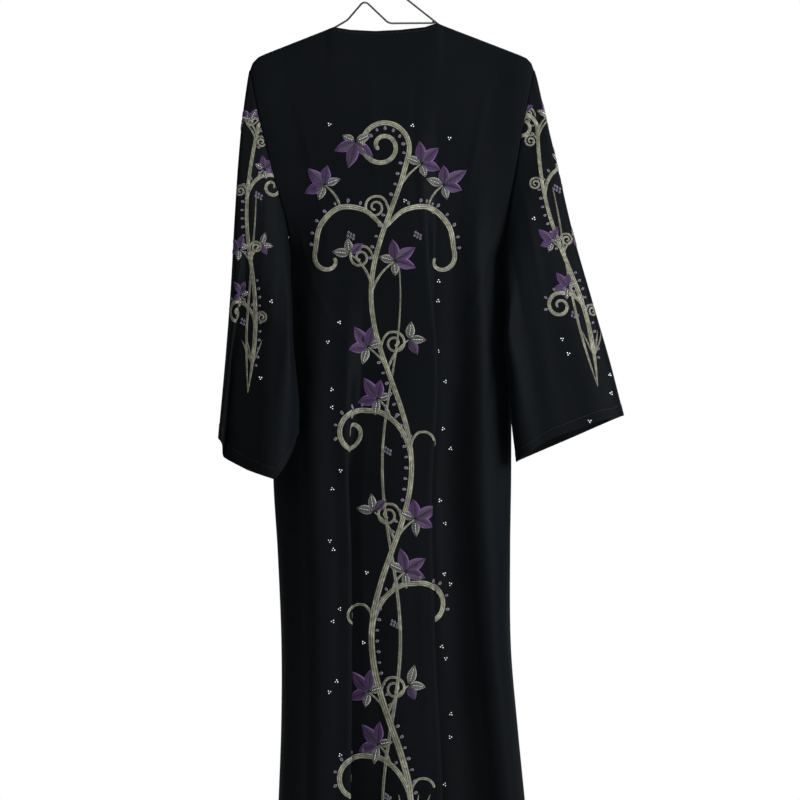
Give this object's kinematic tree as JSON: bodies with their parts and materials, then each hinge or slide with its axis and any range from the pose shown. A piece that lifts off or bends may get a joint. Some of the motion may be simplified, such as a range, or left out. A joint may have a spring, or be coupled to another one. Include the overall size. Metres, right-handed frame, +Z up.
{
  "type": "abaya on a wire hanger",
  "caption": "Long open-front black cloak with wide sleeves and an embroidered back, hanging on a bent-wire hanger from its hook.",
  "frame": {"origin": "the point inside the top of the hanger's hook where it rests on a rail", "axes": "+Z up along the cloak's length, +X across the shoulders, the embroidered back faces -Y and the open front +Y"},
  "size_m": [0.6387, 0.1671, 1.5632],
  "materials": {
    "cloth": "matt black crepe with a soft sheen",
    "wire": "smooth dark grey coated wire"
  },
  "bodies": {
    "root": {"hanger": "wire", "back": "cloth", "front_left": "cloth", "front_right": "cloth", "sleeve_left": "cloth", "sleeve_right": "cloth"}
  },
  "joints": []
}
